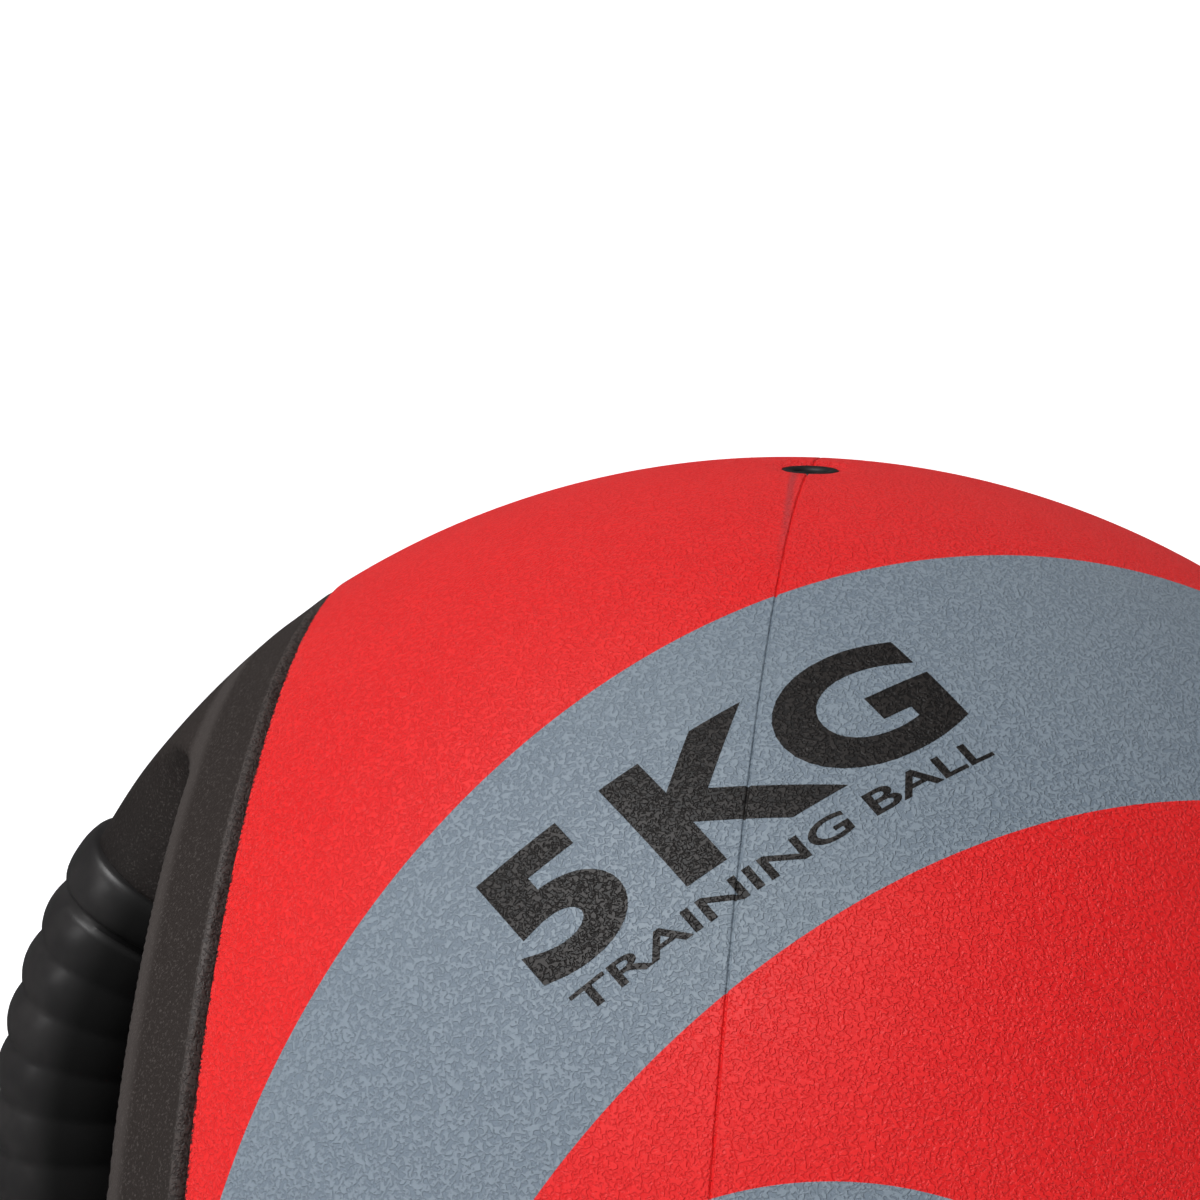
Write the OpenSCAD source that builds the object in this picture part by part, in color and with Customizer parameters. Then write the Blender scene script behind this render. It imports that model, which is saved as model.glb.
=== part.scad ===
// Medicine ball with two moulded side grips.
// Origin at the ball's centre, +Z towards the air valve, +X towards the right grip, -Y towards the front.
// All lengths in millimetres, all angles in degrees.

/* [Ball] */
// Outside diameter of the ball
ball_d = 230; // [220:1:240]
// Thickness of the coloured rubber cover
cover_t = 5; // [4:0.5:6]
// Thickness of the grey inlays set into the cover
inlay_t = 2.5; // [1.5:0.5:3]
// Thickness of the heavy rubber wall under the cover
carcass_t = 25; // [18:1:28]
// Thickness of the air bladder's wall
bladder_t = 1.5; // [1:0.5:2]
// Depth of the groove where the two cover halves meet
seam_groove = 0.3; // [0.1:0.1:0.5]

/* [Side recess] */
// Distance from the middle of the ball to the edge of a side frame
frame_x = 64.2; // [62:0.1:66]
// Distance from the middle of the ball to the rim of the recess
rim_x = 75.7; // [74:0.1:77]
// Distance from the middle of the ball to the floor of the recess
floor_x = 54.5; // [52:0.5:56]
// Radius of the flat floor of the recess
floor_r = 70; // [66:1:72]
// Thickness of the recess floor
floor_t = 6; // [5:0.5:8]

/* [Grip] */
// Distance from the middle of the ball to the outside of a grip
grip_x = 110.6; // [109.6:0.1:111.6]
// Thickness of a grip, outside to inside
grip_d = 22; // [20:0.5:24]
// Width of a grip, front to back
grip_w = 28; // [26:0.5:30]
// Bend radius of a grip's outside line
grip_bend_r = 78; // [76:0.5:80]
// Distance between neighbouring ribs
rib_pitch = 7.86; // [7.5:0.01:8]
// Width of one rib
rib_w = 6.2; // [5:0.1:6.5]
// Height of a rib above the grip
rib_h = 1; // [0.5:0.1:1.5]
// Number of ribs on each half of a grip
ribs_per_half = 7; // [6:1:7]
// Diameter of the steel core inside a grip
core_d = 13; // [10:0.5:14]

/* [Colour pattern] */
// Angular radius of the grey ring's outer edge
ring_outer_a = 68.8; // [66:0.1:69]
// Angular radius of the grey ring's inner edge
ring_inner_a = 56.3; // [52:0.1:58]
// Angular radius of the grey disc
disc_a = 23.2; // [18:0.1:25]

/* [Valve] */
// Diameter of the valve's visible head
valve_head_d = 8; // [7:0.5:10]
// Diameter of the valve's stem
valve_stem_d = 7; // [6:0.5:7]
// Diameter of the hole for the pump needle
needle_hole_d = 2.1; // [2:0.05:2.3]
// Depth of the hole for the pump needle
needle_hole_depth = 12; // [8:1:14]
// Depth of the dimple around the valve
dimple_depth = 0.45; // [0.2:0.05:0.8]

/* [Hidden] */
$fn = 64;
// Facets of the large round shapes, and of the skin's outline
large_fn = 128;
skin_fn = 256;
ball_r = ball_d / 2;
carcass_r = ball_r - cover_t;
cavity_r = carcass_r - carcass_t;
// Larger than anything on the ball, for cutting shapes
far = 2 * ball_d;
// How far a cutting shape runs past what it cuts
past = 1;

// Radius around the X axis of a point on the sphere of radius r, at distance x from the middle
function ring_r(x, r = ball_r) = sqrt(r * r - x * x);

// Bend angle of a point on the grip, from its distance along the outside line
function bend_a(s) = (s - grip_straight) / grip_bend_r * 180 / PI;

// Side frame: a strip on the ball's surface, then a face that falls slightly to a rounded rim
strip_w = 2.3;
rim_drop = 0.7;
rim_r = ring_r(rim_x, ball_r - rim_drop);
rim_land = 2.4;
rim_round = 0.6;
rim_bevel = 1;
// The recess wall starts this far out and this far round from the edge of the floor
foot_rise = 5;
foot_spread = 5.5;
wall_foot_x = floor_x + foot_rise;
wall_foot_r = floor_r + foot_spread;
// Wall of the cup, and its flange under the edge of the cover
cup_wall_t = 9;
flange_t = 4;
cup_back_x = floor_x - floor_t;
cup_back_r = floor_r + cup_wall_t;
flange_r = ring_r(frame_x, carcass_r);
flange_foot_x = frame_x - flange_t;

// Heavy wall behind the recess, and the end of the air space
web_t = 6;
cavity_x = cup_back_x - web_t;

// Grip centre line: straight in the middle, with this many ribs on each half, then a bend towards each end
straight_ribs = 2;
grip_straight = straight_ribs * rib_pitch;
mid_x = grip_x - grip_d / 2;
mid_bend_r = grip_bend_r - grip_d / 2;
bend_x = mid_x - mid_bend_r;
collar_w = 7.6;
collar_extra = 1.6;
collar_gap = 1;
// Positions along the outside line of the grip, measured from its middle
collar_start = ribs_per_half * rib_pitch + collar_gap;
sleeve_end = collar_start + collar_w;
sleeve_end_a = bend_a(sleeve_end);
core_end_a = 54;

// Root where a grip grows out of the frame
root_shrink = 1.5;
root_lap = 1;
root_r = 9.5;
root_x = 71.5;
root_ring_r = 74.5;
root_spread_a = 20;
root_fn = 32;
anchor_r = 8;
anchor_t = 2.5;

// Directions of the colour pattern's circles: sideways angle, then upward angle
ring_outer_dir = [35.2, 2.8];
ring_inner_dir = [36.2, -10.4];
disc_dir = [7.9, 2.4];
// Height that divides the upper from the lower piece of the ring
ring_split_z = -20;

// Valve
dimple_ball_r = 70;
valve_top = ball_r - dimple_depth;
valve_head_t = valve_top - carcass_r;
valve_core_d = 4.4;
valve_core_sink = 0.5;
stem_below = 5;
patch_r = 14;
patch_t = 1.5;

red = [0.83, 0.10, 0.10];
grey = [0.36, 0.42, 0.47];
frame_black = [0.10, 0.09, 0.09];
grip_black = [0.06, 0.06, 0.065];
rubber_black = [0.13, 0.13, 0.14];
steel = [0.65, 0.66, 0.68];

// ---- helpers ----

// Children are drawn for the right side (side = 1), or mirrored to the left side (side = -1)
module on_side(side) {
    mirror([side < 0 ? 1 : 0, 0, 0]) children();
}

// Children are drawn for the front, or turned round to the back
module on_face(back) {
    rotate([0, 0, back ? 180 : 0]) children();
}

// Half of space on the right (side = 1) or the left (side = -1) of the seam
module half_space(side) {
    on_side(side) translate([0, -far / 2, -far / 2]) cube([far / 2, far, far]);
}

// Half of space above (up = 1) or below (up = -1) a height
module above(z, up) {
    translate([-far / 2, -far / 2, up > 0 ? z : z - far]) cube([far, far, far]);
}

// The part of space nearer the middle of the ball than distance x
module slab_within(x) {
    translate([-x, -far / 2, -far / 2]) cube([2 * x, far, far]);
}

module shell(outer, inner) {
    difference() {
        sphere(r = outer, $fn = large_fn);
        sphere(r = inner, $fn = large_fn);
    }
}

// Turns a profile with x = radius, y = distance along the X axis into a solid around the X axis
module spun_about_x() {
    rotate([0, 90, 0]) rotate_extrude($fn = large_fn) children();
}

// One side of the ball's skin between the seam and the side frame, from the surface down to a radius
module skin_half(side, inner) {
    on_side(side) spun_about_x() intersection() {
        difference() {
            circle(r = ball_r, $fn = skin_fn);
            circle(r = inner, $fn = skin_fn);
        }
        square([ball_r, frame_x]);
    }
}

// Turns children's +Z to a direction of the colour pattern
module pointed(dir) {
    rotate([-dir[1], 0, 0]) rotate([0, 0, dir[0]]) rotate([90, 0, 0]) children();
}

// Flat slice of the ball whose edge draws a circle of this angular radius on the ball
module colour_cap(dir, angle) {
    pointed(dir)
        translate([0, 0, ball_r * cos(angle)])
            cylinder(h = ball_r, r = ball_r + past, $fn = large_fn);
}

// Cone from the ball's centre whose edge draws a circle of this angular radius on the ball
module colour_cone(dir, angle) {
    reach = ball_r + past;
    pointed(dir) cylinder(h = reach, r1 = 0, r2 = reach * tan(angle), $fn = large_fn);
}

module valve_hole(d) {
    cylinder(h = ball_r + past, d = d);
}

module valve_dimple() {
    translate([0, 0, valve_top + dimple_ball_r]) sphere(r = dimple_ball_r, $fn = large_fn);
}

// ---- cover and inlays ----

// What one side of the ball has of a face's grey ring
module ring_skin(back, side) {
    difference() {
        intersection() {
            skin_half(side, ball_r - inlay_t);
            on_face(back) colour_cap(ring_outer_dir, ring_outer_a);
        }
        on_face(back) colour_cap(ring_inner_dir, ring_inner_a);
    }
}

// What one side of the ball has of a face's grey disc
module disc_skin(back, side) {
    intersection() {
        skin_half(side, ball_r - inlay_t);
        on_face(back) colour_cone(disc_dir, disc_a);
    }
}

// Small V groove around the seam
module seam_cut() {
    spun_about_x() translate([ball_r, 0]) rotate(45) square(seam_groove * sqrt(2), center = true);
}

// The left half; the right half is the same piece turned round
module red_cover(turned) {
    color(red) on_face(turned) difference() {
        skin_half(-1, carcass_r);
        for (back = [false, true]) {
            ring_skin(back, -1);
            disc_skin(back, -1);
        }
        seam_cut();
        valve_dimple();
        valve_hole(valve_head_d);
    }
}

// One of the pieces that the seam divides a ring into
module ring_piece(back, side) {
    color(grey) difference() {
        ring_skin(back, side);
        seam_cut();
    }
}

module ring_end_piece(back, side, up) {
    color(grey) intersection() {
        ring_piece(back, side);
        above(ring_split_z, up);
    }
}

module disc_piece(back, side) {
    color(grey) difference() {
        disc_skin(back, side);
        seam_cut();
    }
}

// ---- heavy wall ----

// Outer envelope of the recess cup, as the hole it needs in the wall
module cup_envelope() {
    spun_about_x() polygon([
        [0, cup_back_x],
        [cup_back_r, cup_back_x],
        [flange_r, flange_foot_x],
        [flange_r, frame_x],
        [ball_r, frame_x],
        [ball_r, ball_r],
        [0, ball_r]
    ]);
}

module air_space(shrink) {
    intersection() {
        sphere(r = cavity_r - shrink, $fn = large_fn);
        slab_within(cavity_x - shrink);
    }
}

module carcass(side) {
    color(rubber_black) difference() {
        intersection() {
            sphere(r = carcass_r, $fn = large_fn);
            half_space(side);
        }
        on_side(side) cup_envelope();
        air_space(0);
        valve_hole(valve_stem_d);
    }
}

// ---- side frame ----

module frame_cup() {
    strip_x = frame_x + strip_w * ring_r(frame_x) / ball_r;
    spun_about_x() polygon([
        [0, cup_back_x],
        [cup_back_r, cup_back_x],
        [flange_r, flange_foot_x],
        [flange_r, frame_x],
        [ring_r(frame_x), frame_x],
        [ring_r(strip_x), strip_x],
        [rim_r, rim_x - rim_round],
        [rim_r - rim_round, rim_x],
        [rim_r - rim_land, rim_x],
        [rim_r - rim_land - rim_bevel, rim_x - rim_bevel],
        [wall_foot_r, wall_foot_x],
        [floor_r, floor_x],
        [0, floor_x]
    ]);
}

// Places children on the grip's centre line, at a bend angle measured from the end of the straight
module at_bend(angle) {
    translate([bend_x, 0, grip_straight]) rotate([0, -angle, 0]) translate([mid_bend_r, 0, 0]) children();
}

// Section of the grip: a flat oval
module oval(depth, width) {
    gap = width - depth;
    square([depth, gap], center = true);
    for (end = [-1, 1]) {
        translate([0, end * gap / 2]) circle(d = depth);
    }
}

module grip_root() {
    hull() {
        at_bend(sleeve_end_a)
            linear_extrude(root_lap)
                for (end = [-1, 1]) {
                    translate([-root_shrink / 2, end * (grip_w - grip_d) / 2])
                        circle(d = grip_d - root_shrink, $fn = root_fn);
                }
        for (turn = [-1, 0, 1]) {
            rotate([turn * root_spread_a, 0, 0])
                translate([root_x, 0, root_ring_r])
                    sphere(r = root_r, $fn = root_fn);
        }
    }
}

module side_frame(side) {
    color(frame_black) on_side(side) difference() {
        union() {
            frame_cup();
            for (end = [0, 1]) {
                mirror([0, 0, end]) grip_root();
            }
        }
        core_sweep(core_d);
        anchor_discs();
    }
}

// ---- grip ----

// Sweeps a section along the straight of the right grip, between two heights
module straight_sweep(from, to) {
    translate([mid_x, 0, from]) linear_extrude(to - from) children();
}

// Sweeps a section round the right grip's upper bend, between two bend angles
module bend_sweep(from, to) {
    translate([bend_x, 0, grip_straight])
        rotate([90, 0, 0])
            rotate([0, 0, from])
                rotate_extrude(angle = to - from) translate([mid_bend_r, 0]) children();
}

// Sweeps a section along the whole centre line of the right grip
module grip_sweep(end_angle) {
    straight_sweep(-grip_straight, grip_straight) children();
    for (end = [0, 1]) {
        mirror([0, 0, end]) bend_sweep(0, end_angle) children();
    }
}

module core_sweep(d) {
    grip_sweep(core_end_a) circle(d = d);
}

module rib(i) {
    start = (i + 0.5) * rib_pitch - rib_w / 2;
    if (i < straight_ribs) {
        straight_sweep(start, start + rib_w) oval(grip_d + 2 * rib_h, grip_w + 2 * rib_h);
    } else {
        bend_sweep(bend_a(start), bend_a(start + rib_w)) oval(grip_d + 2 * rib_h, grip_w + 2 * rib_h);
    }
}

module collar() {
    bend_sweep(bend_a(collar_start), sleeve_end_a) oval(grip_d + 2 * collar_extra, grip_w + 2 * collar_extra);
}

module grip_sleeve(side) {
    color(grip_black) on_side(side) difference() {
        union() {
            grip_sweep(bend_a(collar_start + collar_w / 2)) oval(grip_d, grip_w);
            for (end = [0, 1]) {
                mirror([0, 0, end]) {
                    for (i = [0 : ribs_per_half - 1]) {
                        rib(i);
                    }
                    collar();
                }
            }
        }
        core_sweep(core_d);
    }
}

module grip_core(side) {
    color(steel) on_side(side) core_sweep(core_d);
}

// Steel discs at the ends of a core, moulded into the frame's roots
module anchor_discs() {
    for (end = [0, 1]) {
        mirror([0, 0, end]) at_bend(core_end_a) cylinder(h = anchor_t, r = anchor_r);
    }
}

module core_anchors(side) {
    color(steel) on_side(side) anchor_discs();
}

// ---- bladder and valve ----

module bladder() {
    color(rubber_black) difference() {
        air_space(0);
        air_space(bladder_t);
        valve_hole(valve_stem_d);
    }
}

module valve_patch() {
    inner = cavity_r - bladder_t;
    color(rubber_black) difference() {
        intersection() {
            shell(inner, inner - patch_t);
            cylinder(h = ball_r, r = patch_r);
        }
        valve_hole(valve_stem_d);
    }
}

module valve_housing() {
    stem_bottom = cavity_r - bladder_t - patch_t - stem_below;
    color(grip_black) difference() {
        union() {
            translate([0, 0, valve_top - valve_head_t]) cylinder(h = valve_head_t, d = valve_head_d);
            translate([0, 0, stem_bottom])
                cylinder(h = valve_top - valve_head_t - stem_bottom, d = valve_stem_d);
        }
        translate([0, 0, stem_bottom - past]) cylinder(h = ball_r, d = valve_core_d);
    }
}

module valve_core() {
    core_bottom = cavity_r - bladder_t - patch_t;
    core_top = valve_top - valve_core_sink;
    color(rubber_black) difference() {
        translate([0, 0, core_bottom]) cylinder(h = core_top - core_bottom, d = valve_core_d);
        translate([0, 0, core_top - needle_hole_depth])
            cylinder(h = needle_hole_depth + past, d = needle_hole_d);
    }
}

// ---- nodes ----

red_cover(false);  // red_cover_left
red_cover(true);  // red_cover_right
ring_piece(false, -1);  // ring_inlay_front_left
ring_end_piece(false, 1, 1);  // ring_inlay_front_right_upper
ring_end_piece(false, 1, -1);  // ring_inlay_front_right_lower
ring_piece(true, 1);  // ring_inlay_back_right
ring_end_piece(true, -1, 1);  // ring_inlay_back_left_upper
ring_end_piece(true, -1, -1);  // ring_inlay_back_left_lower
disc_piece(false, -1);  // disc_inlay_front_left
disc_piece(false, 1);  // disc_inlay_front_right
disc_piece(true, -1);  // disc_inlay_back_left
disc_piece(true, 1);  // disc_inlay_back_right
carcass(-1);  // carcass_left
carcass(1);  // carcass_right
side_frame(-1);  // side_frame_left
side_frame(1);  // side_frame_right
grip_sleeve(-1);  // grip_sleeve_left
grip_sleeve(1);  // grip_sleeve_right
grip_core(-1);  // grip_core_left
grip_core(1);  // grip_core_right
core_anchors(-1);  // core_anchors_left
core_anchors(1);  // core_anchors_right
bladder();
valve_patch();
valve_housing();
valve_core();
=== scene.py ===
"""Looks of the dual-grip medicine ball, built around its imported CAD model.

Lengths are in metres unless a comment says millimetres, in the CAD frame: +Z is up through the
valve, +X goes through the right grip and -Y is the front.
"""
import math

import bmesh
import bpy
import numpy as np
import openvdb
from mathutils import Matrix, Vector


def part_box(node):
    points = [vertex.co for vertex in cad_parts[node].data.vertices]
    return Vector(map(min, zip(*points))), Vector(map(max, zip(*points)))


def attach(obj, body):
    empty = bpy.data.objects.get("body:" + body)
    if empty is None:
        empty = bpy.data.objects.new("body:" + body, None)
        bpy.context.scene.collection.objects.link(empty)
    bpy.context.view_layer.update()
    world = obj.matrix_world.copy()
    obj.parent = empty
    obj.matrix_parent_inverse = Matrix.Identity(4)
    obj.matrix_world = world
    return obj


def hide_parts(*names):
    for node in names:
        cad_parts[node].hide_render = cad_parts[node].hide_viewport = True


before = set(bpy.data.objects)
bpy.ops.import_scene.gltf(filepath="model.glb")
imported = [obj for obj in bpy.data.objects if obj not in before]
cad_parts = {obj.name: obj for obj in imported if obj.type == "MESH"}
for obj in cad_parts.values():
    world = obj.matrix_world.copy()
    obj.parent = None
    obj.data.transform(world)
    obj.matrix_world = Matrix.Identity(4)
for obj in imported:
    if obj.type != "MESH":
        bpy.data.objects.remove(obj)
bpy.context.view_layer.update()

MM = 0.001
BODY = "root"

# ---- sizes that the CAD model fixes ----

COVER_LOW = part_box("red_cover_left")[0]
R = -COVER_LOW.z
FRAME_X = -COVER_LOW.x
RIB_TOP_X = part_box("grip_sleeve_right")[1].x
HEAD_LOW, HEAD_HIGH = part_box("valve_housing")
VALVE_R = HEAD_HIGH.x
VALVE_TOP = HEAD_HIGH.z
FRAME_BACK_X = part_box("side_frame_right")[0].x

# ---- sizes that repeat the CAD source's ----

COVER_T = 5 * MM
INLAY_T = 2.5 * MM
# Circles of the pattern on the front: degrees sideways and up to the middle, and the angular radius
RING_OUTER = ((35.2, 2.8), 68.8)
RING_INNER = ((36.2, -10.4), 56.3)
DISC = ((7.9, 2.4), 23.2)
# The pattern stands on the front and, turned round +Z, on the back
FACES = (("front", 1.0), ("back", -1.0))
DIMPLE_DEPTH = 0.45 * MM
HEAD_T = 4.55 * MM
HEAD_STEM_R = 3.5 * MM

RIM_X = 75.7 * MM
FLOOR_X = 54.5 * MM
RIB_H = 1.0 * MM
RIB_PITCH = 7.86 * MM
STRAIGHT_RIBS = 2
RIBS_PER_HALF = 7
GRIP_D = 22 * MM
GRIP_W = 28 * MM
BEND_R = 78 * MM
COLLAR_GAP = 1 * MM
COLLAR_W = 7.6 * MM
GRIP_X = RIB_TOP_X - RIB_H
GRIP_STRAIGHT = STRAIGHT_RIBS * RIB_PITCH
BEND_X = GRIP_X - BEND_R
COLLAR_START = RIBS_PER_HALF * RIB_PITCH + COLLAR_GAP

# ---- sizes of the looks alone ----

# These three are within 0.4 mm of the CAD source's
DIMPLE_R = 6.3 * MM
STRIP_END_X = FRAME_X + 2.25 * MM
RIM_R = 85.9 * MM

SKIN_STEP = 1.6 * MM
SEAM_DEPTH = 0.3 * MM
SEAM_HALF_W = 0.28 * MM
EDGE_DROP = 0.25 * MM
EDGE_W = 0.3 * MM
LIP_ROUND = 4.2 * MM
COLLAR_EXTRA = 1.1 * MM
GRAIN_PITCH = 0.67 * MM
GRAIN_DEPTH = 0.12 * MM

# The print: degrees sideways and up to its middle, the turn of its lines, and for each line its words,
# width, height, middle above the print's, added stroke and width of the gap between words
MARK_AT = (-1.4, 49.5)
MARK_TURN = 43.5
MARK_LINES = (("5 KG", 64.5 * MM, 18.5 * MM, 0.8 * MM, 0.04, 0.4),
              ("TRAINING BALL", 62 * MM, 3.4 * MM, -12.1 * MM, 0.016, 0.9))
INK_T = 0.04 * MM


# ---- small helpers ----

def unit(v):
    v = np.asarray(v, float)
    return v / np.linalg.norm(v, axis=-1, keepdims=True)


def direction(sideways, up):
    """Unit vector towards a place on the front of the ball, given in degrees."""
    s, u = math.radians(sideways), math.radians(up)
    return np.array([math.sin(s), -math.cos(s) * math.cos(u), math.cos(s) * math.sin(u)])


def mesh_piece(name, verts, faces, material, normals=None):
    """A smooth-shaded mesh object that rides on the ball. normals are per loop, or None."""
    mesh = bpy.data.meshes.new(name)
    mesh.from_pydata([tuple(v) for v in verts], [], [tuple(f) for f in faces])
    mesh.validate()
    mesh.update()
    mesh.polygons.foreach_set("use_smooth", [True] * len(mesh.polygons))
    if normals is not None:
        mesh.normals_split_custom_set([tuple(n) for n in normals])
    piece = bpy.data.objects.new(name, mesh)
    bpy.context.scene.collection.objects.link(piece)
    mesh.materials.append(material)
    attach(piece, BODY)
    return piece


# ---- materials ----

class Nodes:
    """A short way to build a node tree: each call makes a node and links what it is given."""

    def __init__(self, name):
        self.material = bpy.data.materials.new(name)
        self.material.use_nodes = True
        self.tree = self.material.node_tree
        self.shader = self.tree.nodes["Principled BSDF"]
        self.place = self.tree.nodes.new("ShaderNodeTexCoord").outputs["Object"]

    def set(self, socket, value):
        if isinstance(value, bpy.types.NodeSocket):
            self.tree.links.new(value, socket)
        else:
            socket.default_value = value

    def math(self, operation, a, b=0.0, c=0.0):
        node = self.tree.nodes.new("ShaderNodeMath")
        node.operation = operation
        for socket, value in zip(node.inputs, (a, b, c)):
            self.set(socket, value)
        return node.outputs[0]

    def vector(self, operation, a, b):
        node = self.tree.nodes.new("ShaderNodeVectorMath")
        node.operation = operation
        self.set(node.inputs[0], a)
        self.set(node.inputs[1], b)
        return node.outputs[0]

    def length(self, a):
        node = self.tree.nodes.new("ShaderNodeVectorMath")
        node.operation = "LENGTH"
        self.set(node.inputs[0], a)
        return node.outputs["Value"]

    def apart(self, where):
        """The x, y and z of a place."""
        node = self.tree.nodes.new("ShaderNodeSeparateXYZ")
        self.set(node.inputs[0], where)
        return node.outputs

    def distance(self, a, b):
        """Length of the diagonal of a and b."""
        return self.math("SQRT", self.math("ADD", self.math("POWER", a, 2.0), self.math("POWER", b, 2.0)))

    def noise(self, scale, detail, roughness=0.5, distortion=0.0, where=None):
        node = self.tree.nodes.new("ShaderNodeTexNoise")
        self.set(node.inputs["Vector"], where or self.place)
        node.inputs["Scale"].default_value = scale
        node.inputs["Detail"].default_value = detail
        node.inputs["Roughness"].default_value = roughness
        node.inputs["Distortion"].default_value = distortion
        return node.outputs["Fac"]

    def ramp(self, value, low, high, to_low=0.0, to_high=1.0):
        """Smooth step of value from low..high to to_low..to_high."""
        node = self.tree.nodes.new("ShaderNodeMapRange")
        node.interpolation_type = "SMOOTHSTEP"
        for name, v in (("Value", value), ("From Min", low), ("From Max", high),
                        ("To Min", to_low), ("To Max", to_high)):
            self.set(node.inputs[name], v)
        return node.outputs[0]

    def mix(self, factor, a, b):
        node = self.tree.nodes.new("ShaderNodeMix")
        node.data_type = "RGBA"
        self.set(node.inputs["Factor"], factor)
        colours = [s for s in node.inputs if s.type == "RGBA"]
        self.set(colours[0], a)
        self.set(colours[1], b)
        return [s for s in node.outputs if s.type == "RGBA"][0]

    def bump(self, height, distance, strength=1.0, onto=None):
        node = self.tree.nodes.new("ShaderNodeBump")
        node.inputs["Strength"].default_value = strength
        node.inputs["Distance"].default_value = distance
        self.set(node.inputs["Height"], height)
        if onto is not None:
            self.set(node.inputs["Normal"], onto)
        return node.outputs[0]

    def finish(self, colour, roughness, normal=None, **constants):
        self.set(self.shader.inputs["Base Color"], colour)
        self.set(self.shader.inputs["Roughness"], roughness)
        if normal is not None:
            self.set(self.shader.inputs["Normal"], normal)
        for name, value in constants.items():
            self.shader.inputs[name.replace("_", " ")].default_value = value
        return self.material


def rgb(r, g, b):
    return (r, g, b, 1.0)


def leather_height(n):
    """Short winding ridges as on leather-grained rubber: about 0 in the gaps and 1 on the ridges."""
    return n.ramp(n.noise(1.35 / GRAIN_PITCH, 0.0, 0.5, 0.8), 0.36, 0.60)


def leather_rubber(name, colour, gap_shade_colour, pale, marks=None):
    """Coloured rubber with a leather grain, painted darker in the grain's gaps as shade, and paler in soft
    cloudy patches.

    marks, if given, adds marks of its own to the colour.
    """
    n = Nodes(name)
    height = leather_height(n)
    cloud = n.noise(22, 3, 0.55)
    # painted shade: the grain's gaps take the darker colour
    tone = n.mix(height, gap_shade_colour, colour)
    tone = n.mix(n.ramp(cloud, 0.45, 0.8, 0.0, 0.35), tone, pale)
    if marks:
        tone = marks(n, tone, height)
    rough = n.math("MULTIPLY_ADD", n.noise(60, 3, 0.6), 0.12, 0.44)
    return n.finish(tone, rough, n.bump(height, GRAIN_DEPTH), Specular_IOR_Level=0.3)


def red_marks(n, tone, height):
    """Painted shade along the ragged crevice beside the frame, and a painted shadow beside the seam, in
    front of the valve, as cast by a mould flash.
    """
    x, y, z = n.apart(n.place)
    # painted shade: near-black red in the crevice next to the frame, ragged with the grain
    reach = n.math("MULTIPLY_ADD", height, -0.35 * MM, n.math("ABSOLUTE", x))
    gap = n.ramp(reach, FRAME_X - 0.62 * MM, FRAME_X - 0.34 * MM)
    tone = n.mix(gap, tone, rgb(0.035, 0.010, 0.010))
    # painted shadow: a dark band beside the seam near the top, as if cast by a mould flash line
    from_seam = n.ramp(y, -34 * MM, -5 * MM, 0.5 * MM, 1.6 * MM)
    off = n.math("ABSOLUTE", n.math("ADD", x, from_seam))
    across = n.ramp(off, 0.1 * MM, 0.8 * MM, 0.4, 0.0)
    fades_in = n.ramp(y, -46 * MM, -20 * MM)
    ends = n.ramp(y, -4 * MM, -2 * MM, 1.0, 0.0)
    on_top = n.ramp(z, 0.5 * R, 0.6 * R)
    seam_flash_shadow = n.math("MULTIPLY", n.math("MULTIPLY", across, fades_in), n.math("MULTIPLY", ends, on_top))
    return n.mix(seam_flash_shadow, tone, rgb(0.20, 0.055, 0.065))


def red_material():
    return leather_rubber("red_leather_rubber", rgb(0.80, 0.018, 0.019), rgb(0.73, 0.012, 0.014),
                          rgb(0.83, 0.028, 0.024), red_marks)


def grey_material():
    return leather_rubber("grey_leather_rubber", rgb(0.224, 0.272, 0.322), rgb(0.168, 0.210, 0.258),
                          rgb(0.24, 0.287, 0.326))


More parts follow.
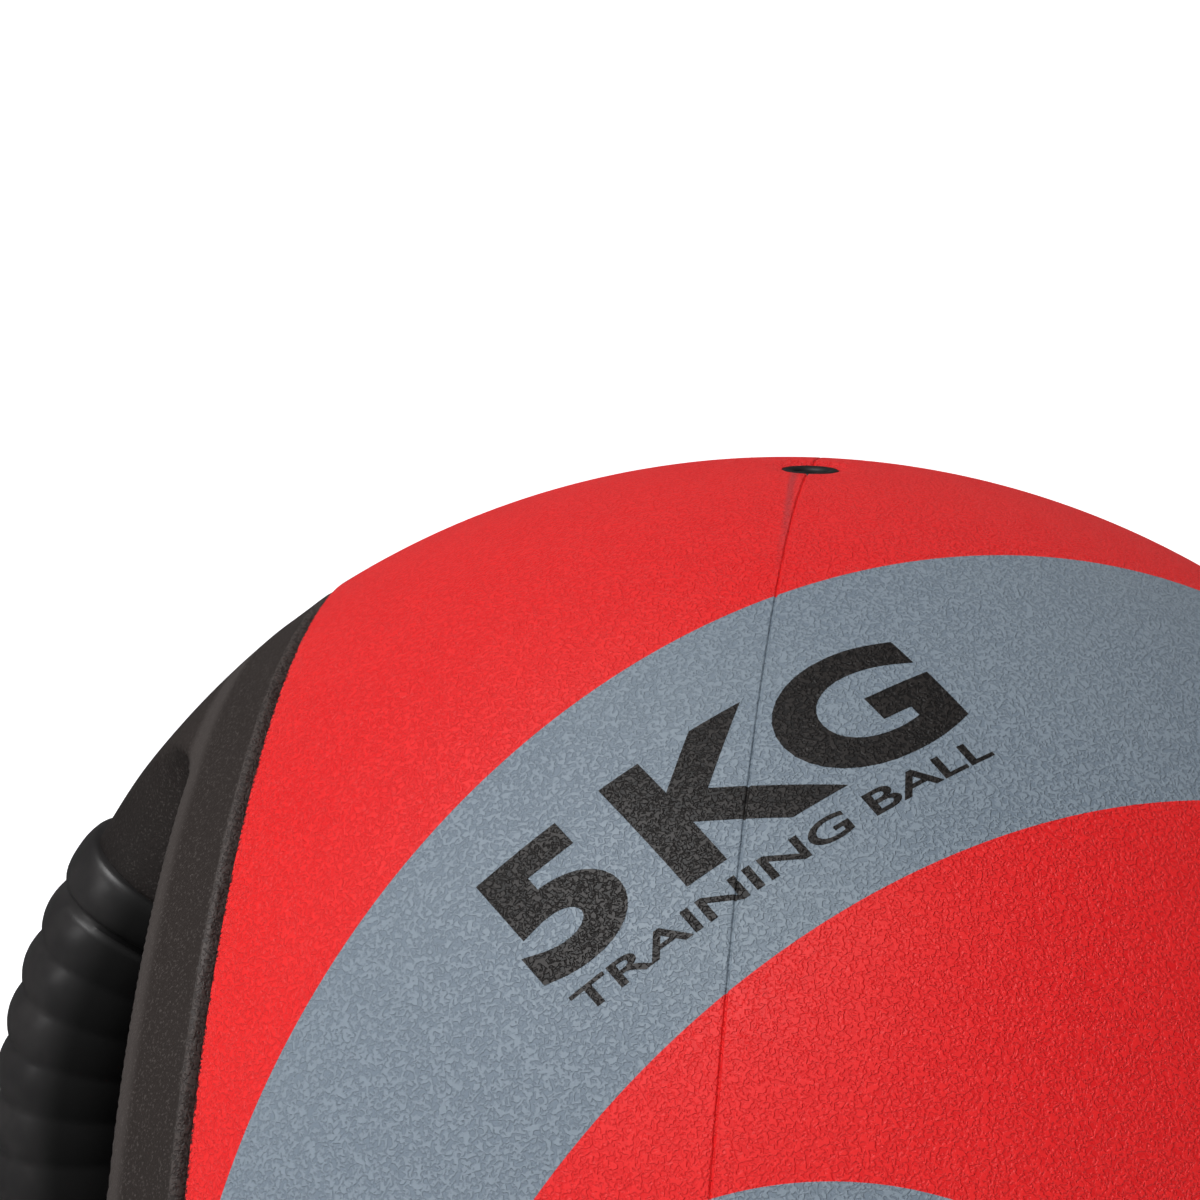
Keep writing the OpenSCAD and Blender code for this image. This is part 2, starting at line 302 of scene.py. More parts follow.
def frame_material():
    """Black rubber: leather grain on the strip beside the cover, and a fine sanded grain elsewhere.

    The rim's edge is painted paler as a highlight, the roots of the grip are painted darker as the
    recess's shade, and the strip has painted shade in its crevice beside the cover.
    """
    n = Nodes("frame_black_rubber")
    side = n.math("ABSOLUTE", n.apart(n.place)[0])
    on_strip = n.ramp(side, STRIP_END_X - 0.15 * MM, STRIP_END_X + 0.15 * MM, 1.0, 0.0)
    leather = leather_height(n)
    sand = n.math("MULTIPLY_ADD", n.noise(1500, 1), 0.6, n.noise(3200, 1))
    leather_n = n.bump(n.math("MULTIPLY", leather, on_strip), 0.07 * MM)
    off_strip = n.math("SUBTRACT", 1.0, on_strip)
    normal = n.bump(n.math("MULTIPLY", sand, off_strip), 0.06 * MM, 1.0, leather_n)
    speck = n.ramp(n.noise(2800, 1), 0.56, 0.72)
    tone = n.mix(n.math("MULTIPLY", speck, 0.5), rgb(0.026, 0.020, 0.018), rgb(0.10, 0.086, 0.080))
    rho = n.length(n.vector("MULTIPLY", n.place, (0.0, 1.0, 1.0)))
    from_rim = n.distance(n.math("SUBTRACT", rho, RIM_R), n.math("SUBTRACT", side, RIM_X))
    # painted highlight: the rounded lip at the rim's edge is paler, as if catching the light
    rim_highlight = n.ramp(from_rim, 0.8 * MM, 3.2 * MM, 0.55, 0.0)
    tone = n.mix(rim_highlight, tone, rgb(0.075, 0.064, 0.060))
    # painted shade: darker towards the grip's roots, down in the recess
    tone = n.mix(n.ramp(side, 77 * MM, 94 * MM, 0.0, 0.6), tone, rgb(0.010, 0.009, 0.009))
    # painted shade and highlight: the strip's grain is darker in its gaps and paler on its ridges
    strip_tone = n.mix(leather, rgb(0.034, 0.027, 0.025), rgb(0.062, 0.050, 0.046))
    # painted shade: near-black in the crevice beside the cover, ragged with the grain
    reach = n.math("MULTIPLY_ADD", leather, 0.2 * MM, side)
    out_of_crevice_shade = n.ramp(reach, FRAME_X + 0.2 * MM, FRAME_X + 0.45 * MM)
    strip_tone = n.mix(out_of_crevice_shade, rgb(0.006, 0.004, 0.004), strip_tone)
    tone = n.mix(on_strip, tone, strip_tone)
    rough = n.math("MULTIPLY_ADD", n.noise(80, 3, 0.6), 0.1, 0.5)
    return n.finish(tone, rough, normal, Specular_IOR_Level=0.3)


def grip_material():
    """Black rubber with faint marks: slightly glossy on the outside, matt towards the ball and painted
    darker there as the shade of the recess.
    """
    n = Nodes("grip_black_rubber")
    marks = n.noise(140, 4, 0.65)
    fine = n.noise(3000, 2, 0.6)
    x, _, z = n.apart(n.place)
    beyond = n.math("SUBTRACT", n.math("ABSOLUTE", x), BEND_X)
    rise = n.math("MAXIMUM", n.math("SUBTRACT", n.math("ABSOLUTE", z), GRIP_STRAIGHT), 0.0)
    away_from_recess_shade = n.ramp(n.distance(beyond, rise), BEND_R - 12 * MM, BEND_R - 5 * MM)
    tone = n.mix(n.ramp(marks, 0.35, 0.75), rgb(0.020, 0.019, 0.0195), rgb(0.030, 0.028, 0.028))
    # painted shade: near-black on the side towards the ball, where the recess shades the grip
    tone = n.mix(away_from_recess_shade, rgb(0.0015, 0.0015, 0.0015), tone)
    rough = n.math("ADD", n.math("MULTIPLY", marks, 0.16), n.ramp(away_from_recess_shade, 0.0, 1.0, 0.72, 0.28))
    return n.finish(tone, rough, n.bump(fine, 0.004 * MM, 0.6), Specular_IOR_Level=0.36)


def plain_rubber_material(name, colour, roughness=0.6):
    n = Nodes(name)
    marks = n.noise(90, 4, 0.6)
    dark, light = (rgb(*(k * c for c in colour)) for k in (0.75, 1.2))
    tone = n.mix(n.ramp(marks, 0.3, 0.8), dark, light)
    return n.finish(tone, n.math("MULTIPLY_ADD", marks, 0.15, roughness - 0.07),
                    n.bump(n.noise(1500, 3, 0.6), 0.01 * MM), Specular_IOR_Level=0.4)


def ink_material():
    """Black print that follows the rubber's leather grain, painted a little paler on the ridges as a
    highlight.
    """
    n = Nodes("black_print")
    height = leather_height(n)
    # painted highlight: paler ink on the grain's ridges
    tone = n.mix(height, rgb(0.009, 0.008, 0.008), rgb(0.022, 0.019, 0.018))
    rough = n.math("MULTIPLY_ADD", n.noise(60, 3, 0.6), 0.12, 0.40)
    return n.finish(tone, rough, n.bump(height, 0.16 * MM), Specular_IOR_Level=0.25)


def steel_material():
    n = Nodes("drawn_steel")
    stretched = n.vector("MULTIPLY", n.place, (1.0, 1.0, 0.04))
    lines = n.noise(2400, 3, 0.6, 0.0, stretched)
    tone = n.mix(lines, rgb(0.42, 0.43, 0.45), rgb(0.60, 0.61, 0.63))
    rough = n.math("MULTIPLY_ADD", lines, 0.2, 0.25)
    return n.finish(tone, rough, n.bump(lines, 0.004 * MM), Metallic=1.0)


# ---- the ball's skin: red cover halves and grey inlays ----

def wave(value, low, high):
    """Smooth step of value from 0 at low to 1 at high."""
    t = np.clip((value - low) / (high - low), 0, 1)
    return t * t * (3 - 2 * t)


def skin_radius(u):
    """Distance of the ball's surface from its centre, in the unit directions u."""
    x = np.abs(u[:, 0]) * R
    from_pole = np.hypot(u[:, 0], u[:, 1]) * R
    up = u[:, 2] > 0
    seam = SEAM_DEPTH * (1 - wave(x, 0.0, SEAM_HALF_W))
    edge = EDGE_DROP * wave(x, FRAME_X - EDGE_W, FRAME_X)
    dimple = np.where(up, DIMPLE_DEPTH * (1 - wave(from_pole, VALVE_R, DIMPLE_R)), 0.0)
    return R - seam - edge - dimple


def skin_normal(u):
    """Outward normal of the surface skin_radius draws."""
    step = 0.02 * MM / R
    helper = np.where(np.abs(u[:, 2:3]) < 0.9, [[0.0, 0.0, 1.0]], [[0.0, 1.0, 0.0]])
    t1 = unit(np.cross(u, helper))
    t2 = np.cross(u, t1)
    r = skin_radius(u)
    slopes = [(skin_radius(unit(u + step * t)) - skin_radius(unit(u - step * t))) / (2 * step)
              for t in (t1, t2)]
    return unit(u * r[:, None] - t1 * slopes[0][:, None] - t2 * slopes[1][:, None])


def turned(axis, sign):
    """A front axis as it stands on the front (1) or, turned round +Z, on the back (-1)."""
    return axis * np.array([sign, sign, 1.0])


def region_of(u):
    """Names the part of the pattern that unit direction u lies in."""
    if u[2] > 0 and math.hypot(u[0], u[1]) * R < VALVE_R:
        return "hole"
    for face, sign in FACES:
        inside = [u @ turned(direction(*c[0]), sign) > math.cos(math.radians(c[1]))
                  for c in (RING_OUTER, RING_INNER, DISC)]
        if inside[2]:
            return "disc_" + face
        if inside[0] and not inside[1]:
            if u[0] * sign < 0:
                return "ring_" + face
            return "ring_" + face + ("_upper" if u[2] > 0 else "_lower")
    return "cover"


def half_skin(side):
    """Unit directions, faces and each face's region for one half of the ball's skin.

    The grid's rows run round the X axis, close together beside the seam and the frame, and it is cut
    along every circle of the pattern and round the valve.
    """
    seam_rows = [v * MM for v in (0.0, 0.07, 0.14, 0.21, 0.28, 0.5, 1.0)]
    edge_rows = [FRAME_X - v * MM for v in (1.0, 0.5, 0.3, 0.2, 0.1, 0.0)]
    low, high = math.asin(seam_rows[-1] / R), math.asin(edge_rows[0] / R)
    count = round((high - low) * R / SKIN_STEP)
    rows = seam_rows + [R * math.sin(low + (high - low) * i / count) for i in range(1, count)] + edge_rows
    around = round(2 * math.pi * R / SKIN_STEP / 4) * 4
    bm = bmesh.new()
    grid = []
    for x in rows:
        s = side * x / R
        c = math.sqrt(1 - s * s)
        grid.append([bm.verts.new((s, c * math.cos(a), c * math.sin(a)))
                     for a in (2 * math.pi * (j + 0.5) / around for j in range(around))])
    for i in range(len(rows) - 1):
        for j in range(around):
            k = (j + 1) % around
            quad = [grid[i][j], grid[i][k], grid[i + 1][k], grid[i + 1][j]]
            bm.faces.new(quad if side > 0 else quad[::-1])
    cuts = [(np.array([0.0, 0.0, 1.0]), math.cos(math.asin(VALVE_R / R)))]
    for _, sign in FACES:
        for circle in (RING_OUTER, RING_INNER, DISC):
            cuts.append((turned(direction(*circle[0]), sign), math.cos(math.radians(circle[1]))))
    for axis, offset in cuts:
        bmesh.ops.bisect_plane(bm, geom=bm.verts[:] + bm.edges[:] + bm.faces[:], dist=2e-6,
                               plane_co=Vector(axis * offset), plane_no=Vector(axis))
    bm.verts.index_update()
    u = unit(np.array([v.co[:] for v in bm.verts]))
    faces = [[v.index for v in f.verts] for f in bm.faces]
    bm.free()
    regions = [region_of(unit(u[f].mean(0))) for f in faces]
    return u, faces, regions


class Layers:
    """Builds a closed solid from skin faces that stand at different depths."""

    def __init__(self, u):
        self.u = u
        self.radius = {"surface": skin_radius(u), "pocket": np.full(len(u), R - INLAY_T),
                       "inner": np.full(len(u), R - COVER_T)}
        self.outward = skin_normal(u)
        self.index, self.verts, self.faces, self.normals = {}, [], [], []
        self.stepped = set()

    def vert(self, i, level):
        if (i, level) not in self.index:
            self.index[i, level] = len(self.verts)
            self.verts.append(self.u[i] * self.radius[level][i])
        return self.index[i, level]

    def add(self, corners, normals):
        self.faces.append([self.vert(i, level) for i, level in corners])
        self.normals.extend(normals)

    def wall(self, a, b, upper, lower):
        """Upright face along the edge a-b, from one level down to another.

        It gets a corner at the pocket's level where it passes the floor of a pocket.
        """
        passes = self.stepped if (upper, lower) == ("surface", "inner") else ()
        corners = [(a, upper)] + [(a, "pocket")] * (a in passes) + [(a, lower)]
        corners += [(b, lower)] + [(b, "pocket")] * (b in passes) + [(b, upper)]
        p = [self.u[i] * self.radius[level][i] for i, level in corners]
        flat = np.cross(p[1] - p[0], p[-1] - p[0])
        size = np.linalg.norm(flat)
        flat = flat / size if size > 0 else self.u[a]
        self.add(corners, [flat] * len(corners))


def skin_solid(name, skin, tops, bottom, material):
    """One piece of the skin. tops maps a region to the level of its upper face, and skips other regions."""
    u, faces, regions = skin
    layers = Layers(u)
    order = {"surface": 2, "pocket": 1, "inner": 0, None: -1}
    pockets = [face for face, region in zip(faces, regions) if tops.get(region) == "pocket"]
    layers.stepped = {i for face in pockets for i in face}
    edge_top = {}
    for face, region in zip(faces, regions):
        top = tops.get(region)
        for a, b in zip(face, face[1:] + face[:1]):
            edge_top[a, b] = top
        if top is None:
            continue
        outward = layers.outward if top == "surface" else u
        layers.add([(i, top) for i in face], [outward[i] for i in face])
        layers.add([(i, bottom) for i in reversed(face)], [-u[i] for i in reversed(face)])
    for (a, b), top in edge_top.items():
        beyond = edge_top.get((b, a))
        if order[top] > order[beyond]:
            layers.wall(a, b, top, beyond or bottom)
    return mesh_piece(name, layers.verts, layers.faces, material, layers.normals)


def make_skin(red, grey):
    for side, side_name in ((-1, "left"), (1, "right")):
        skin = half_skin(side)
        names = sorted(set(skin[2]) - {"hole"})
        tops = {name: "pocket" for name in names}
        tops["cover"] = "surface"
        cover = skin_solid("red_cover_shell_" + side_name, skin, tops, "inner", red)
        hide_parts("red_cover_" + side_name)
        for region in names:
            if region == "cover":
                continue
            kind, face, *end = region.split("_")
            node = "_".join([kind, "inlay", face, side_name] + end)
            inlay = skin_solid(node.replace("inlay", "panel"), skin, {region: "surface"}, "pocket",
                               grey)
            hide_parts(node)


# ---- side frames, as distance fields turned into meshes ----

def smooth_max(a, b, k):
    """Larger of a and b, rounded over where they differ by less than k."""
    h = np.maximum(k - np.abs(a - b), 0) / k
    return np.maximum(a, b) + h * h * k / 4


def smooth_min(a, b, k):
    return -smooth_max(-a, -b, k)


def line_distance(p, q, rho, x):
    """Signed distance in the (rho, x) plane from the line p-q, positive on its left."""
    d = unit(np.subtract(q, p))
    return -(rho - p[0]) * d[1] + (x - p[1]) * d[0]


def grip_line_point(s):
    """X and Z of a point on the right grip's middle line, and the line's angle there.

    The point is at distance s along the grip, measured on its outside.
    """
    a = max(0.0, abs(s) - GRIP_STRAIGHT) / BEND_R
    r = BEND_R - GRIP_D / 2
    x = BEND_X + r * math.cos(a)
    z = min(abs(s), GRIP_STRAIGHT) + r * math.sin(a)
    return x, math.copysign(z, s), math.copysign(a, s)


# How far the roots and the frame stand in from the ball's surface, at distances from the seam's plane
ENVELOPE_X = [v * MM for v in (64, 66.5, 70, 75.7, 80, 88, 95)]
ENVELOPE_DROP = [v * MM for v in (0, 0, 0.3, 0.6, 0.8, 1.2, 1.7)]

# The slope of the recess's wall and of the frame's back, as (distance from the X axis, x) points
WALL_LINE = ((82.6 * MM, 75.0 * MM), (75.5 * MM, 59.5 * MM))
BACK_LINE = ((79 * MM, FRAME_BACK_X), (89 * MM, FRAME_X - 4 * MM))
# Inner radius of the flat that faces the cover, and the rounding between the recess's wall and floor
FLANGE_R = 89.3 * MM
FLOOR_ROUND = 14 * MM

# The grip's root: it starts inside the collar and is slimmer than the grip there, then grows
ROOT_INTO_COLLAR = 1.5 * MM
ROOT_SLIMMER = 0.9 * MM
ROOT_LENGTH = 34 * MM
ROOT_GROW_LENGTH = 26 * MM
ROOT_GROWTH = {"depth": 1.5 * MM, "width": 7 * MM, "inward": 1.2 * MM}
ROOT_BLEND = 15 * MM


def root_field(x, y, z):
    """Signed distance to the two roots, and how far a point lies past a root's start.

    A root is the grip's line carried on straight past the sleeve, growing wider towards the frame.
    """
    px, pz, a = grip_line_point(COLLAR_START + ROOT_INTO_COLLAR)
    az = np.abs(z)
    along = -(x - px) * math.sin(a) + (az - pz) * math.cos(a)
    across = (x - px) * math.cos(a) + (az - pz) * math.sin(a)
    grow = np.clip(along / ROOT_GROW_LENGTH, 0, 1.3)
    half_d = GRIP_D / 2 - ROOT_SLIMMER + ROOT_GROWTH["depth"] * grow
    half_w = GRIP_W / 2 - ROOT_SLIMMER + ROOT_GROWTH["width"] * grow * grow
    beyond = np.maximum(np.abs(y) - (half_w - half_d), 0)
    root = np.hypot(beyond, across + ROOT_GROWTH["inward"] * grow) - half_d
    return np.maximum(np.maximum(root, -along), along - ROOT_LENGTH), along


def frame_field(p):
    """Signed distance to the right side frame: a dish with a wide rim, and two roots for the grip."""
    x, y, z = p[..., 0], p[..., 1], p[..., 2]
    rho = np.hypot(y, z)
    r = np.sqrt(rho * rho + x * x)
    strip_r = math.sqrt(R * R - STRIP_END_X ** 2)
    face = line_distance((RIM_R, RIM_X), (strip_r, STRIP_END_X), rho, x)
    outside = smooth_max(r - R, face, 0.3 * MM)
    envelope = r - (R - np.interp(x, ENVELOPE_X, ENVELOPE_DROP))
    hollow = smooth_max(line_distance(*WALL_LINE, rho, x), FLOOR_X - x, FLOOR_ROUND)
    dish = smooth_max(outside, -hollow, LIP_ROUND)
    root, along = root_field(x, y, z)
    body = smooth_min(dish, root, ROOT_BLEND)
    body = np.where(along > -6 * MM, smooth_max(body, envelope, 0.8 * MM), body)
    # cut off behind: the back of the dish, and the flat that faces the cover
    back = line_distance(*BACK_LINE, rho, x)
    facing_cover = np.minimum(FRAME_X - x, rho - FLANGE_R)
    behind = np.maximum(np.maximum(FRAME_BACK_X - x, -back), facing_cover)
    return np.maximum(body, behind)


def field_mesh(field, low, high, voxel):
    """Closed quad mesh of a distance field's surface, with its points moved onto that surface."""
    counts = [int(math.ceil((h - l) / voxel)) + 1 for l, h in zip(low, high)]
    axes = [l + voxel * np.arange(c) for l, c in zip(low, counts)]
    values = np.empty(counts, np.float32)
    slab = 8
    for i in range(0, counts[0], slab):
        block = np.stack(np.meshgrid(axes[0][i:i + slab], axes[1], axes[2], indexing="ij"), -1)
        values[i:i + slab] = field(block)
    band = 4 * voxel
    grid = openvdb.FloatGrid(background=float(band))
    grid.copyFromArray(np.clip(values, -band, band))
    points, quads = grid.convertToQuads(isovalue=0.0)
    points = points * voxel + np.array(low)
    step = 0.02 * MM
    for _ in range(3):
        gradient = np.stack([(field(points + step * e) - field(points - step * e)) / (2 * step)
                             for e in np.eye(3)], -1)
        size = np.maximum((gradient ** 2).sum(-1), 0.25)
        points = points - gradient * (field(points) / size)[:, None]
    return points, quads


def make_frames(material):
    voxel = 0.9 * MM
    low = (FRAME_BACK_X - 3 * voxel, -R, -R)
    high = (RIB_TOP_X, R, R)
    points, quads = field_mesh(frame_field, low, high, voxel)
    for side, side_name in ((-1, "left"), (1, "right")):
        verts = points * np.array([side, 1, 1])
        faces = quads if side > 0 else quads[:, ::-1]
        piece = mesh_piece("moulded_side_frame_" + side_name, verts, faces, material)
        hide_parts("side_frame_" + side_name)


# ---- ribbed sleeves ----

def sleeve_offset(s, angle):
    """How far the sleeve stands out from its plain section, at distance s along the grip.

    angle is turned round the grip from its outside. The grooves are deepest there, and shallow on the
    grip's sides and inside.
    """
    s = abs(s)
    groove_sink = 0.15 * MM
    if s < RIBS_PER_HALF * RIB_PITCH:
        w = 2 * (s / RIB_PITCH % 1.0) - 1
        depth = 0.25 + 0.75 * float(wave(math.cos(angle), 0.0, 0.85))
        return RIB_H * (1 - depth * abs(w) ** 2) - groove_sink
    if s < COLLAR_START:
        return -groove_sink
    w = 2 * (s - COLLAR_START) / COLLAR_W - 1
    return COLLAR_EXTRA * math.sqrt(max(0.0, 1 - abs(w) ** 2.6))


def oval_point(angle, extra):
    """Point of the grip's section: first outward, then sideways; a superellipse."""
    power = 2 / 2.4
    c, s = math.cos(angle), math.sin(angle)
    return (math.copysign(abs(c) ** power, c) * (GRIP_D / 2 + extra),
            math.copysign(abs(s) ** power, s) * (GRIP_W / 2 + extra))


def make_sleeves(material):
    per_rib, per_collar, around = 12, 14, 72
    half = [RIB_PITCH * i / per_rib for i in range(RIBS_PER_HALF * per_rib + 1)]
    half += [COLLAR_START + COLLAR_W * (1 - math.cos(math.pi * i / per_collar)) / 2
             for i in range(per_collar + 1)]
    stations = [-s for s in reversed(half[1:])] + half
    angles = [2 * math.pi * j / around for j in range(around)]
    verts = []
    for s in stations:
        cx, cz, a = grip_line_point(s)
        for angle in angles:
            out, sideways = oval_point(angle, sleeve_offset(s, angle))
            verts.append((cx + out * math.cos(a), sideways, cz + out * math.sin(a)))
    faces = []
    for i in range(len(stations) - 1):
        for j in range(around):
            k = (j + 1) % around
            faces.append((i * around + j, i * around + k, (i + 1) * around + k, (i + 1) * around + j))
    faces.append(tuple(reversed(range(around))))
    faces.append(tuple((len(stations) - 1) * around + j for j in range(around)))
    for side, side_name in ((-1, "left"), (1, "right")):
        v = np.array(verts) * np.array([side, 1, 1])
        f = [tuple(reversed(q)) for q in faces] if side < 0 else faces
        piece = mesh_piece("ribbed_grip_" + side_name, v, f, material)
        piece.data.set_sharp_from_angle(angle=math.radians(60))
        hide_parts("grip_sleeve_" + side_name)


# ---- valve ----

def lathe(outline, around=64):
    """Vertices and faces of a closed solid turned about +Z.

    The outline's points are (radius, height), and both its ends are on the axis.
    """
    verts = [(0.0, 0.0, outline[0][1])]
    for r, z in outline[1:-1]:
        verts += [(r * math.cos(2 * math.pi * j / around), r * math.sin(2 * math.pi * j / around), z)
                  for j in range(around)]
    verts.append((0.0, 0.0, outline[-1][1]))
    last = len(verts) - 1
    rings = len(outline) - 2
    faces = []
    for j in range(around):
        k = (j + 1) % around
        faces.append((0, 1 + k, 1 + j))
        for i in range(rings - 1):
            low, high = 1 + i * around, 1 + (i + 1) * around
            faces.append((low + j, low + k, high + k, high + j))
        faces.append((1 + (rings - 1) * around + j, 1 + (rings - 1) * around + k, last))
    return verts, faces


def make_valve(material):
    """Rubber valve housing: a stem, and a head with a domed rim round the sunk top of the valve's core."""
    # in millimetres; the rim's points are (radius, height above the valve's top)
    bore_r, bore_depth, edge_gap = 2.2, 33, 0.02
    rim_r = VALVE_R / MM - edge_gap
    rim = [(rim_r, -0.45), (3.86, -0.16), (3.62, -0.04), (3.2, 0.0), (2.75, -0.05), (2.45, -0.2),
           (bore_r, -0.45), (bore_r, -bore_depth), (0.0, -bore_depth)]
    head_low = VALVE_TOP - HEAD_T
    outline = [(0.0, HEAD_LOW.z), (HEAD_STEM_R, HEAD_LOW.z), (HEAD_STEM_R, head_low)]
    outline.append((rim_r * MM, head_low))
    outline += [(r * MM, VALVE_TOP + z * MM) for r, z in rim]
    verts, faces = lathe(outline)
    piece = mesh_piece("valve_body", verts, faces, material)
    piece.data.set_sharp_from_angle(angle=math.radians(50))
    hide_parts("valve_housing")


# ---- printed weight mark ----

def flat_words(words, width, height, middle, weight, gap):
    """Vertices and faces of a line of print, as wide and high as asked, with its middle at (0, middle).

    weight is the stroke added to the letters, and gap the width of the gap between words.
    """
    data = bpy.data.curves.new(words, "FONT")
    data.body = words
    data.offset = weight
    data.space_word = gap
    data.resolution_u = 8
    writing = bpy.data.objects.new(words, data)
    bpy.context.scene.collection.objects.link(writing)
    mesh = bpy.data.meshes.new_from_object(writing.evaluated_get(bpy.context.evaluated_depsgraph_get()))
    bpy.data.objects.remove(writing)
    v = np.array([p.co[:2] for p in mesh.vertices])
    low, high = v.min(0), v.max(0)
    v = (v - (low + high) / 2) / (high - low) * (width, height) + (0, middle)
    faces = [tuple(f.vertices) for f in mesh.polygons]
    bpy.data.meshes.remove(mesh)
    return v, faces


def cut_print(centre, along, across):
    """Unit directions and triangles of the whole print, cut small enough to bend over the ball.

    The print starts flat: it touches the ball at centre, and along and across are its own axes.
    """
    bm = bmesh.new()
    for line in MARK_LINES:
        v, faces = flat_words(*line)
        made = [bm.verts.new(tuple(centre * R + along * a + across * b)) for a, b in v]
        for f in faces:
            bm.faces.new([made[i] for i in f])
    bmesh.ops.remove_doubles(bm, verts=bm.verts[:], dist=0.001 * MM)
    # cut into cells, and finer where the seam passes, in millimetres
    cell, half_length, below, above = 1.5, 34, 16, 12
    cuts = [(centre * R + along * a * MM, along) for a in np.arange(-half_length, half_length, cell)]
    cuts += [(centre * R + across * b * MM, across) for b in np.arange(-below, above, cell)]
    cuts += [(np.array([x * MM, 0, 0]), np.array([1.0, 0, 0]))
             for x in (-0.5, -0.28, -0.14, 0, 0.14, 0.28, 0.5)]
    for place, facing in cuts:
        bmesh.ops.bisect_plane(bm, geom=bm.verts[:] + bm.edges[:] + bm.faces[:], dist=2e-6,
                               plane_co=Vector(place), plane_no=Vector(facing))
    sliver = 0.003 * MM
    bmesh.ops.remove_doubles(bm, verts=bm.verts[:], dist=sliver)
    bmesh.ops.dissolve_degenerate(bm, edges=bm.edges[:], dist=sliver)
    bmesh.ops.triangulate(bm, faces=bm.faces[:])
    bm.verts.index_update()
    u = unit(np.array([v.co[:] for v in bm.verts]))
    faces = [[v.index for v in f.verts] for f in bm.faces]
    bm.free()
    faces = [f if np.dot(np.cross(u[f[1]] - u[f[0]], u[f[2]] - u[f[0]]), u[f[0]]) > 0 else f[::-1]
             for f in faces]
    return u, faces


def make_mark(material):
    """Black print across the front's grey ring, following the ball's surface and the seam."""
    centre = direction(*MARK_AT)
    up = unit(np.array([0, 0, 1.0]) - centre * centre[2])
    right = np.cross(up, centre)
    turn = math.radians(MARK_TURN)
    along = right * math.cos(turn) + up * math.sin(turn)
    u, faces = cut_print(centre, along, np.cross(centre, along))
    layers = Layers(u)
    layers.radius["ink"] = skin_radius(u) + INK_T
    layers.radius["under"] = skin_radius(u) - INK_T
    edges = {(a, b) for f in faces for a, b in zip(f, f[1:] + f[:1])}
    for f in faces:
        layers.add([(i, "ink") for i in f], [layers.outward[i] for i in f])
        layers.add([(i, "under") for i in reversed(f)], [-u[i] for i in reversed(f)])
    for a, b in edges:
        if (b, a) not in edges:
            layers.wall(a, b, "ink", "under")
    mesh_piece("weight_mark", layers.verts, layers.faces, material, layers.normals)


# ---- carried-over CAD nodes ----

def dress_inner_nodes():
    """Gives the carried-over nodes their materials, and returns the valve's rubber."""
    rubber = plain_rubber_material("inner_black_rubber", (0.030, 0.030, 0.032))
    butyl = plain_rubber_material("bladder_butyl", (0.022, 0.022, 0.024), 0.5)
    valve = plain_rubber_material("valve_black_rubber", (0.012, 0.012, 0.012), 0.55)
    steel = steel_material()
    chosen = {"carcass_left": rubber, "carcass_right": rubber, "bladder": butyl, "valve_patch": butyl,
              "valve_core": valve, "grip_core_left": steel, "grip_core_right": steel,
              "core_anchors_left": steel, "core_anchors_right": steel}
    for node, material in chosen.items():
        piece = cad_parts[node]
        for slot in piece.material_slots:
            slot.material = material
    return valve


# ---- stage, light and camera ----

LIGHT_DISTANCE = 1.6


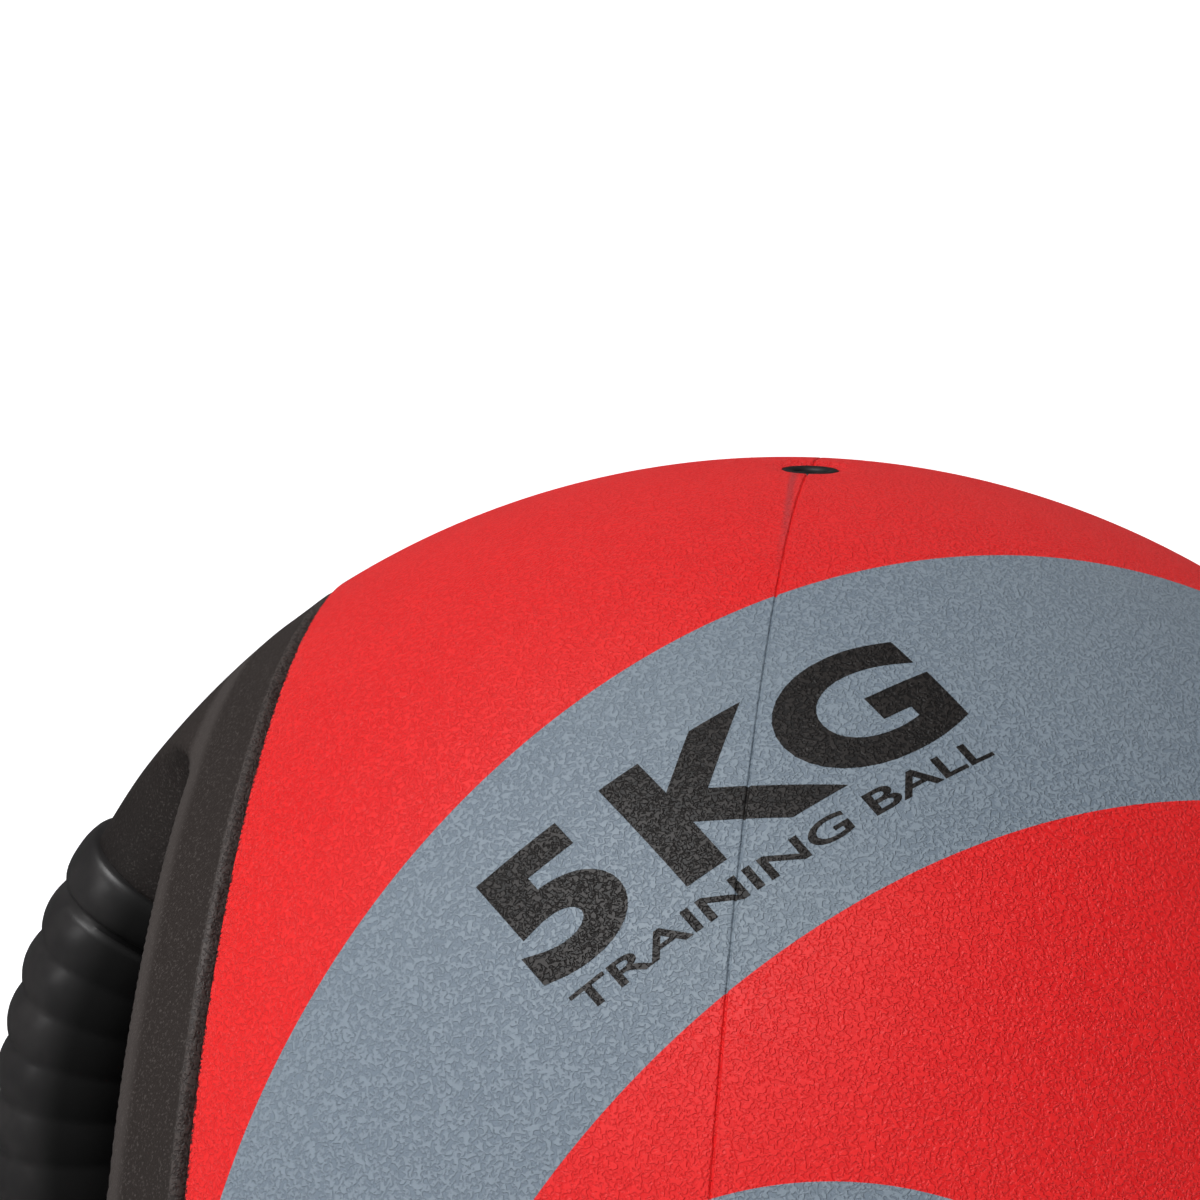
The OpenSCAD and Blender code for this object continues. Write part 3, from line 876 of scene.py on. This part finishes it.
def make_stage():
    """White floor that curves up far behind the ball, and glows except close to it."""
    profile = [(-3.0, 0.0), (2.4, 0.0), (2.9, 0.06), (3.25, 0.25), (3.5, 0.6), (3.6, 1.1), (3.6, 4.5)]
    half = 6.0
    verts = [(x, y, z - R) for y, z in profile for x in (-half, half)]
    faces = [(2 * i, 2 * i + 1, 2 * i + 3, 2 * i + 2) for i in range(len(profile) - 1)]
    mesh = bpy.data.meshes.new("studio_floor")
    mesh.from_pydata(verts, [], faces)
    mesh.polygons.foreach_set("use_smooth", [True] * len(mesh.polygons))
    floor = bpy.data.objects.new("studio_floor", mesh)
    bpy.context.scene.collection.objects.link(floor)
    n = Nodes("white_floor")
    tone = n.mix(n.noise(3, 2, 0.5), rgb(0.93, 0.93, 0.93), rgb(0.95, 0.95, 0.95))
    glow = n.ramp(n.length(n.place), 0.15, 0.55, 0.0, 0.75)
    n.set(n.shader.inputs["Emission Color"], rgb(1, 1, 1))
    n.set(n.shader.inputs["Emission Strength"], glow)
    mesh.materials.append(n.finish(tone, 0.9, None, Specular_IOR_Level=0.0))
    floor.visible_glossy = False


def area_light(name, azimuth, elevation, size, energy):
    """Softbox aimed at the ball, with its azimuth turned from the front towards the right."""
    a, e = math.radians(azimuth), math.radians(elevation)
    place = Vector((math.sin(a) * math.cos(e), -math.cos(a) * math.cos(e), math.sin(e))) * LIGHT_DISTANCE
    data = bpy.data.lights.new(name, "AREA")
    data.shape = "SQUARE"
    data.size = size
    data.energy = energy
    light = bpy.data.objects.new(name, data)
    bpy.context.scene.collection.objects.link(light)
    light.location = place
    light.rotation_euler = (-place).to_track_quat("-Z", "Y").to_euler()
    light.visible_camera = False


def make_lights():
    world = bpy.data.worlds.new("studio")
    bpy.context.scene.world = world
    world.use_nodes = True
    background = world.node_tree.nodes["Background"]
    background.inputs["Color"].default_value = (1, 1, 1, 1)
    background.inputs["Strength"].default_value = 0.05
    area_light("softbox_front", -28, 60, 0.8, 14.2)
    area_light("softbox_left", -60, 65, 0.8, 8.0)
    area_light("softbox_low", -50, 20, 0.5, 2.6)


def make_camera():
    data = bpy.data.cameras.new("camera")
    data.sensor_width = 36
    data.lens = 126
    data.clip_end = 50
    camera = bpy.data.objects.new("camera", data)
    bpy.context.scene.collection.objects.link(camera)
    place = Vector((0.395, -4.805, 1.708)) * R
    forward = Vector((-0.1294, 0.9755, -0.1781)).normalized()
    up = Vector((-0.0465, 0.1735, 0.9837))
    right = forward.cross(up).normalized()
    up = right.cross(forward)
    turn = Matrix((right, up, -forward)).transposed()
    camera.matrix_world = Matrix.Translation(place) @ turn.to_4x4()
    bpy.context.scene.camera = camera


make_camera()
make_lights()
make_stage()
bpy.context.scene.view_settings.view_transform = "Standard"

make_skin(red_material(), grey_material())
make_frames(frame_material())
make_sleeves(grip_material())
make_valve(dress_inner_nodes())
make_mark(ink_material())
